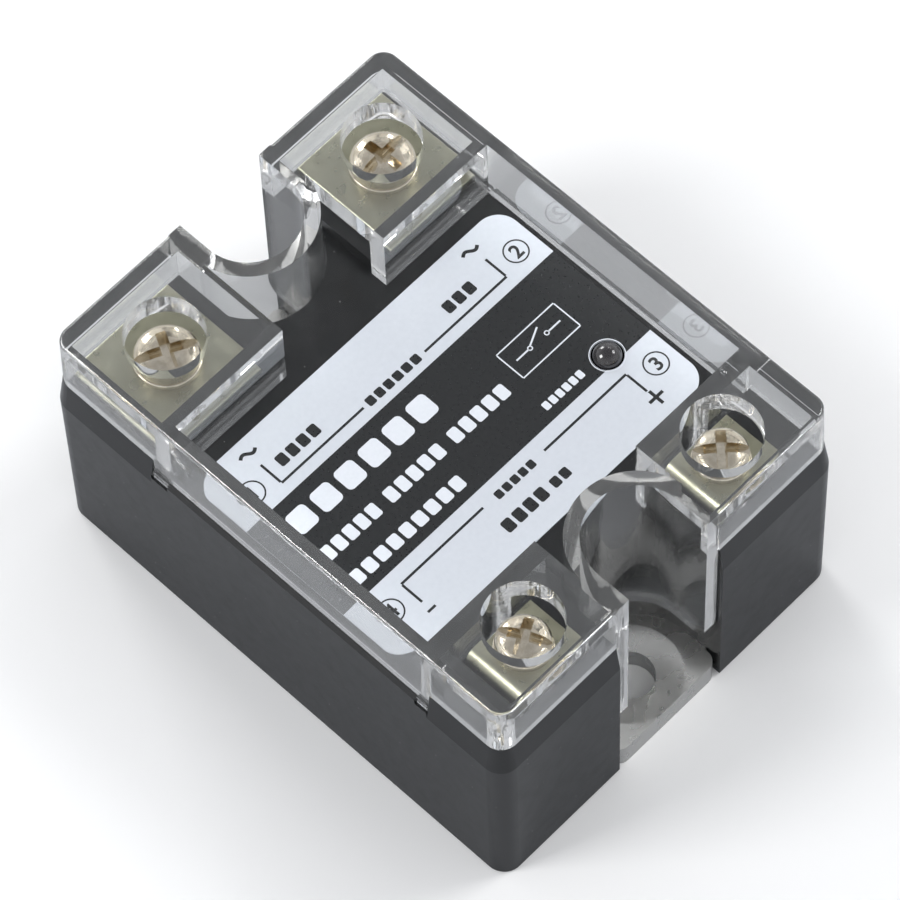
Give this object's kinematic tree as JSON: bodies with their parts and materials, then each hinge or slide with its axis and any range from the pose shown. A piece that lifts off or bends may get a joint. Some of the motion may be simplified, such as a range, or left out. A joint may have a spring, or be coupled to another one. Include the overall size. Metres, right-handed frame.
{
  "type": "solid state relay",
  "caption": "Panel-mount block relay: black moulded body on a metal base plate, screw terminals at both ends, printed label, indicator and lift-off clear cover.",
  "frame": {"origin": "centre of the footprint on the mounting surface, under the base plate", "axes": "+Z away from the mounting surface, +Y towards the load terminals along the line of the mounting holes, +X to the right when the label reads upright"},
  "size_m": [0.045, 0.058, 0.032],
  "materials": {
    "nickel_plate": "bright nickel plate over pressed metal",
    "black_housing": "glossy moulded black plastic",
    "clear_cover": "clear polycarbonate, polished",
    "label_film": "satin white film printed in black",
    "led_lens": "dark tinted clear epoxy",
    "tinned_wire": "tinned wire",
    "nickel_terminal": "nickel-plated brass strip, satin",
    "screw_nickel": "bright nickel plate, warm tint",
    "zinc_nut": "zinc plate",
    "ceramic": "bare alumina, matt",
    "copper": "bare copper",
    "silicon": "passivated silicon, bright top metal",
    "green_board": "green solder mask over glass fibre",
    "black_epoxy": "moulded epoxy",
    "yellow_film_box": "moulded capacitor box",
    "resistor_coat": "lacquered body",
    "clear_resin": "soft silicone filling"
  },
  "bodies": {
    "root": {"base_plate": "nickel_plate", "housing": "black_housing", "label": "label_film", "status_led": "led_lens", "led_leads": "tinned_wire", "output_terminal_1": "nickel_terminal", "output_terminal_2": "nickel_terminal", "input_terminal_3": "nickel_terminal", "input_terminal_4": "nickel_terminal", "output_nuts": "zinc_nut", "input_nuts": "zinc_nut", "ceramic_substrate": "ceramic", "copper_pad_left": "copper", "copper_pad_right": "copper", "thyristor_chip_1": "silicon", "thyristor_chip_2": "silicon", "bridge_clip_1": "copper", "bridge_clip_2": "copper", "gate_pins": "tinned_wire", "control_board": "green_board", "optocoupler": "black_epoxy", "snubber_capacitor": "yellow_film_box", "snubber_resistor": "resistor_coat", "input_resistor": "resistor_coat", "driver_transistor": "black_epoxy", "potting_resin": "clear_resin"},
    "cover": {"cover": "clear_cover"},
    "clamp_1": {"clamp_washer_1": "screw_nickel"},
    "screw_1": {"terminal_screw_1": "screw_nickel"},
    "clamp_2": {"clamp_washer_2": "screw_nickel"},
    "screw_2": {"terminal_screw_2": "screw_nickel"},
    "clamp_3": {"clamp_washer_3": "screw_nickel"},
    "screw_3": {"terminal_screw_3": "screw_nickel"},
    "clamp_4": {"clamp_washer_4": "screw_nickel"},
    "screw_4": {"terminal_screw_4": "screw_nickel"}
  },
  "joints": [
    {"name": "cover_lift", "type": "slide", "parent": "root", "child": "cover", "axis": [0, 0, 1], "range_m": [0, 0.026]},
    {"name": "clamp_1_rise", "type": "slide", "parent": "root", "child": "clamp_1", "axis": [0, 0, 1], "range_m": [0, 0.0021]},
    {"name": "screw_1_turn", "type": "hinge", "parent": "clamp_1", "child": "screw_1", "pos_m": [-0.0143, 0.0213, 0.027], "axis": [0, 0, 1], "range_deg": [0, 1080]},
    {"name": "clamp_2_rise", "type": "slide", "parent": "root", "child": "clamp_2", "axis": [0, 0, 1], "range_m": [0, 0.0021]},
    {"name": "screw_2_turn", "type": "hinge", "parent": "clamp_2", "child": "screw_2", "pos_m": [0.0143, 0.0213, 0.027], "axis": [0, 0, 1], "range_deg": [0, 1080]},
    {"name": "clamp_3_rise", "type": "slide", "parent": "root", "child": "clamp_3", "axis": [0, 0, 1], "range_m": [0, 0.0018]},
    {"name": "screw_3_turn", "type": "hinge", "parent": "clamp_3", "child": "screw_3", "pos_m": [0.0131, -0.0229, 0.027], "axis": [0, 0, 1], "range_deg": [0, 1080]},
    {"name": "clamp_4_rise", "type": "slide", "parent": "root", "child": "clamp_4", "axis": [0, 0, 1], "range_m": [0, 0.0018]},
    {"name": "screw_4_turn", "type": "hinge", "parent": "clamp_4", "child": "screw_4", "pos_m": [-0.0131, -0.0229, 0.027], "axis": [0, 0, 1], "range_deg": [0, 1080]}
  ],
  "couplings": [
    {"joint": "screw_1_turn", "follows": "clamp_1_rise", "rad_per_m": 8976},
    {"joint": "screw_2_turn", "follows": "clamp_2_rise", "rad_per_m": 8976},
    {"joint": "screw_3_turn", "follows": "clamp_3_rise", "rad_per_m": 10472},
    {"joint": "screw_4_turn", "follows": "clamp_4_rise", "rad_per_m": 10472}
  ]
}
